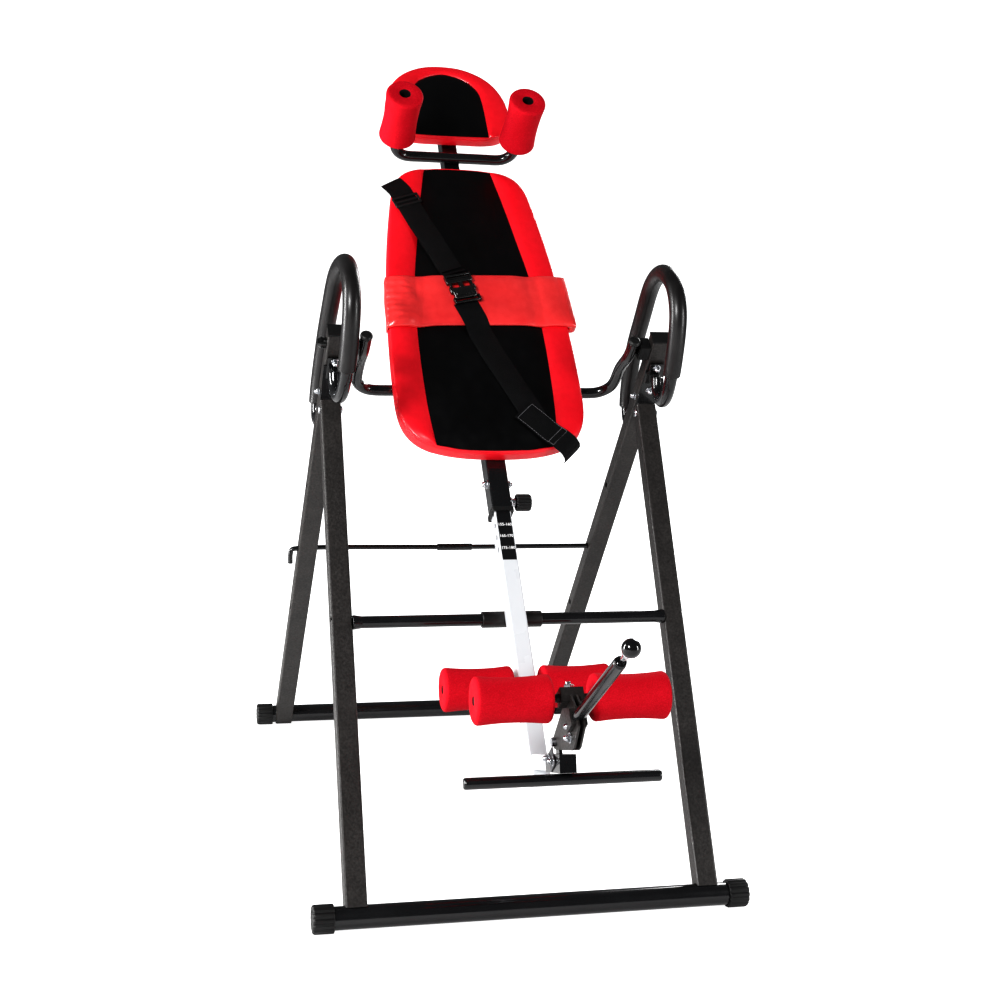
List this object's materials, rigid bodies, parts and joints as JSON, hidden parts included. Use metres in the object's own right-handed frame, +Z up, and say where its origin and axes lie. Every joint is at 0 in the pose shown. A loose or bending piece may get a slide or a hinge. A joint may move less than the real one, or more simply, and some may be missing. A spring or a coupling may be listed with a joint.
{
  "type": "inversion table",
  "caption": "Folding A-frame inversion table: a padded bed tilts between two side handles, with foam ankle rollers, a lever clamp and a telescopic height tube.",
  "frame": {"origin": "on the floor, under the middle of the bounding box", "axes": "+Z up, -Y to the front where the user stands, +X to the right seen from the front"},
  "size_m": [0.72, 1.5436, 1.4339],
  "materials": {
    "black_paint": "gloss black powder coat",
    "grey_paint": "dark grey hammered powder coat",
    "white_paint": "gloss white powder coat",
    "black_plastic": "satin moulded plastic",
    "scale_label": null,
    "black_foam": "smooth closed-cell foam",
    "red_foam": "fine-grained closed-cell foam",
    "upholstery": "red and black vinyl over foam",
    "backrest_board": "plywood under the cover",
    "webbing": "woven black webbing",
    "zinc": "bright zinc plate"
  },
  "bodies": {
    "rear_frame": {"rear_floor_tube": "black_paint", "rear_cap_left": "black_plastic", "rear_cap_right": "black_plastic", "rear_leg_left": "grey_paint", "rear_leg_right": "grey_paint", "rear_leg_plug_left": "black_plastic", "rear_leg_plug_right": "black_plastic", "junction_bracket_left": "black_paint", "junction_bracket_right": "black_paint", "fold_pin_left": "zinc", "fold_pin_right": "zinc", "pivot_block_left": "black_plastic", "pivot_block_right": "black_plastic", "handle_tube_left": "black_paint", "handle_tube_right": "black_paint", "handle_grip_left": "black_foam", "handle_grip_right": "black_foam"},
    "front_frame": {"front_floor_tube": "black_paint", "front_cap_left": "black_plastic", "front_cap_right": "black_plastic", "front_leg_left": "grey_paint", "front_leg_right": "grey_paint", "crossbar": "black_paint", "crossbar_sleeve": "black_plastic"},
    "limit_bar": {"angle_limit_bar": "black_paint"},
    "bed": {"pivot_arm": "black_paint", "pivot_arm_cap_left": "black_plastic", "pivot_arm_cap_right": "black_plastic", "pivot_pin_left": "zinc", "pivot_pin_right": "zinc", "main_tube": "black_paint", "main_tube_collar": "black_plastic", "head_post": "black_paint", "height_pin_housing": "zinc", "backrest_board": "backrest_board", "backrest_pad": "upholstery", "headrest_pad": "upholstery", "lumbar_pad": "upholstery", "strap_upper": "webbing", "strap_lower": "webbing", "strap_buckle": "black_plastic", "shoulder_bar": "black_paint"},
    "shoulder_roller_l": {"shoulder_roller_left": "red_foam"},
    "shoulder_roller_r": {"shoulder_roller_right": "red_foam"},
    "height_pin": {"height_pin_knob": "black_plastic"},
    "foot_tube": {"height_tube": "white_paint", "height_scale": "scale_label", "height_tube_plug": "black_plastic", "rear_roller_axle": "black_paint", "foot_arm": "white_paint", "foot_block": "black_paint", "foot_bar": "black_paint", "clamp_pivot_bolt": "zinc"},
    "rear_ankle_roller_l": {"rear_ankle_roller_left": "red_foam"},
    "rear_ankle_roller_r": {"rear_ankle_roller_right": "red_foam"},
    "ankle_clamp": {"ankle_clamp_fork": "grey_paint", "ankle_lever": "black_paint"},
    "lock": {"lock_rod": "black_plastic"},
    "front_ankle_roller_l": {"front_ankle_roller_left": "red_foam"},
    "front_ankle_roller_r": {"front_ankle_roller_right": "red_foam"}
  },
  "joints": [
    {"name": "frame_fold", "type": "hinge", "parent": "rear_frame", "child": "front_frame", "pos_m": [0, 0.09103, 0.7747], "axis": [1, 0, 0], "range_deg": [0, 62]},
    {"name": "bed_tilt", "type": "hinge", "parent": "rear_frame", "child": "bed", "pos_m": [0, 0.035, 0.896], "axis": [-1, 0, 0], "range_deg": [0, 79]},
    {"name": "limit_bar_slide", "type": "slide", "parent": "rear_frame", "child": "limit_bar", "axis": [-1, 0, 0], "range_m": [0, 0.02]},
    {"name": "height_slide", "type": "slide", "parent": "bed", "child": "foot_tube", "axis": [0, -0.6613, -0.7501], "range_m": [-0.072, 0.096]},
    {"name": "height_pin_pull", "type": "slide", "parent": "bed", "child": "height_pin", "axis": [1, 0, 0], "range_m": [-0.01, 0.004]},
    {"name": "ankle_clamp_swing", "type": "hinge", "parent": "foot_tube", "child": "ankle_clamp", "pos_m": [0, -0.43721, 0.32712], "axis": [-1, 0, 0], "range_deg": [0, 70]},
    {"name": "lock_pull", "type": "slide", "parent": "ankle_clamp", "child": "lock", "axis": [0, -0.8129, 0.5824], "range_m": [0, 0.012], "stiffness_N_per_m": 500},
    {"name": "shoulder_roller_left_spin", "type": "hinge", "parent": "bed", "child": "shoulder_roller_l", "pos_m": [-0.121, 0.43317, 1.31285], "axis": [0, 0.7501, -0.6613], "continuous": true},
    {"name": "shoulder_roller_right_spin", "type": "hinge", "parent": "bed", "child": "shoulder_roller_r", "pos_m": [0.121, 0.43317, 1.31285], "axis": [0, 0.7501, -0.6613], "continuous": true},
    {"name": "rear_ankle_roller_left_spin", "type": "hinge", "parent": "foot_tube", "child": "rear_ankle_roller_l", "pos_m": [-0.083, -0.22912, 0.35297], "axis": [1, 0, 0], "continuous": true},
    {"name": "rear_ankle_roller_right_spin", "type": "hinge", "parent": "foot_tube", "child": "rear_ankle_roller_r", "pos_m": [0.083, -0.22912, 0.35297], "axis": [1, 0, 0], "continuous": true},
    {"name": "front_ankle_roller_left_spin", "type": "hinge", "parent": "ankle_clamp", "child": "front_ankle_roller_l", "pos_m": [-0.09, -0.4907, 0.41161], "axis": [1, 0, 0], "continuous": true},
    {"name": "front_ankle_roller_right_spin", "type": "hinge", "parent": "ankle_clamp", "child": "front_ankle_roller_r", "pos_m": [0.09, -0.4907, 0.41161], "axis": [1, 0, 0], "continuous": true}
  ]
}
